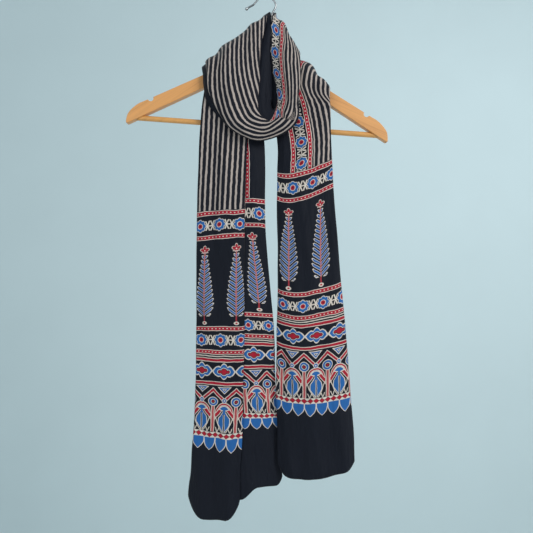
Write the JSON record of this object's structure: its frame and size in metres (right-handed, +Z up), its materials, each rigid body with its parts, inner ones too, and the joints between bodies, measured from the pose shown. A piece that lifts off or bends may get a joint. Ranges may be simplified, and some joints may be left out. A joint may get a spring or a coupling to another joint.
{
  "type": "block-printed ajrakh cotton stole looped on a wooden clothes hanger",
  "caption": "Long printed cotton stole hung over a round-wire hook and the shoulders of a wooden clothes hanger, with a soft cowl in front and two ends hanging down.",
  "frame": {"origin": "top of the inside of the hanger's hook, where it rests on whatever it hangs from", "axes": "+Z up, +X to the right seen from the front, -Y towards the front with the cowl and the two hanging ends"},
  "size_m": [0.445, 0.0927, 0.8881],
  "materials": {
    "printed_cotton": "soft plain-weave cotton with a resist and block print",
    "hanger_wood": "pale varnished hardwood with fine straight grain",
    "hook_wire": "bright plated round wire"
  },
  "bodies": {
    "root": {"stole": "printed_cotton", "hanger_arms": "hanger_wood", "trouser_bar": "hanger_wood", "hanger_hook": "hook_wire"}
  },
  "joints": []
}
